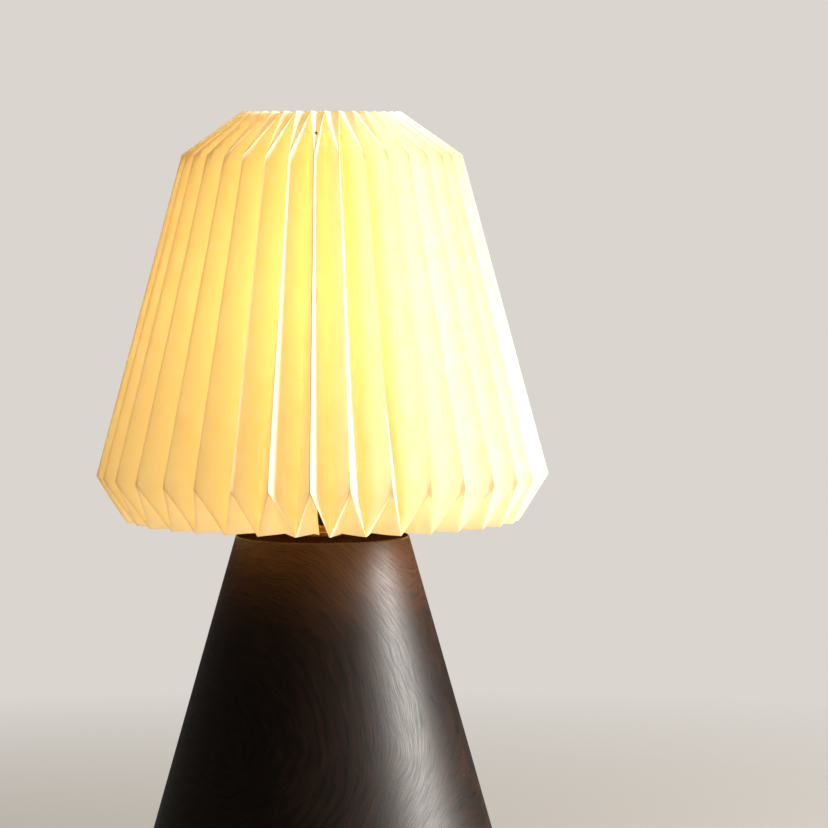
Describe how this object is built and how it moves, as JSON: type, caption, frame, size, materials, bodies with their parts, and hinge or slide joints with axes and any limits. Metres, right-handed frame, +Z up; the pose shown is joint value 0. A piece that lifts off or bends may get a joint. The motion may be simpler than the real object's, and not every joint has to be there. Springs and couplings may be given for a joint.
{
  "type": "table lamp",
  "caption": "Table lamp: a cross-folded pleated paper shade, narrowing to an open top, lifts off a wire carrier above a hollow dark wooden cone with a screw-in bulb.",
  "frame": {"origin": "centre of the felt underside, on the surface that the lamp stands on", "axes": "+Z up along the lamp's axis; +Y points to the back, where the cord entry is; the shade's paper seam is at the front, -Y"},
  "size_m": [0.28, 0.28, 0.5201],
  "materials": {
    "stained_wood": "dark stained turned wood, satin",
    "plywood": "sanded birch plywood",
    "felt": "pressed felt",
    "cast_iron": "rough cast",
    "zinc_steel": "zinc plated",
    "black_steel": "black satin powder coat",
    "brass": "turned, satin",
    "black_plastic": "moulded, satin",
    "white_plastic": "moulded",
    "porcelain": "glazed",
    "brown_insulation": "extruded",
    "blue_insulation": "extruded",
    "white_wire": "white powder coat",
    "opal_glass": "opal, lit warm white",
    "nickel_cap": "nickel plated",
    "black_insulator": "vitrified",
    "solder_tip": "tin solder",
    "clear_glass": "clear",
    "filament": "phosphor coated",
    "shade_paper": "matt parchment paper, lit from inside",
    "white_cord": "twisted cotton"
  },
  "bodies": {
    "base": {"base_cone": "stained_wood", "bottom_plate": "plywood", "bottom_plate_screws": "zinc_steel", "ballast_weight": "cast_iron", "ballast_screws": "zinc_steel", "felt_pad": "felt", "cord_entry_bush": "brass", "stem_tube": "black_steel", "stem_foot_flange": "brass", "stem_washer": "zinc_steel", "stem_nut": "zinc_steel", "holder_cap": "black_plastic", "holder_lock_screw": "zinc_steel", "holder_body": "black_plastic", "holder_insert": "porcelain", "screw_shell": "brass", "centre_contact": "brass", "terminal_block": "white_plastic", "terminal_clamp_screws": "brass", "terminal_fixing_screw": "zinc_steel", "lead_live": "brown_insulation", "lead_neutral": "blue_insulation", "carrier_hub": "white_wire", "carrier_arms": "white_wire", "carrier_ring": "white_wire", "carrier_clamp_ring": "black_plastic"},
    "bulb": {"bulb_glass": "opal_glass", "bulb_cap": "nickel_cap", "bulb_insulator": "black_insulator", "bulb_tip_contact": "solder_tip", "bulb_mount": "clear_glass", "bulb_filaments": "filament"},
    "shade": {"pleated_shade": "shade_paper", "gathering_cord": "white_cord", "seam_overlap": "shade_paper", "top_rim_ring": "white_wire"}
  },
  "joints": [
    {"name": "shade_lift", "type": "slide", "parent": "base", "child": "shade", "axis": [0, 0, 1], "range_m": [0, 0.3]},
    {"name": "bulb_out", "type": "slide", "parent": "base", "child": "bulb", "axis": [0, 0, 1], "range_m": [0, 0.21]}
  ]
}
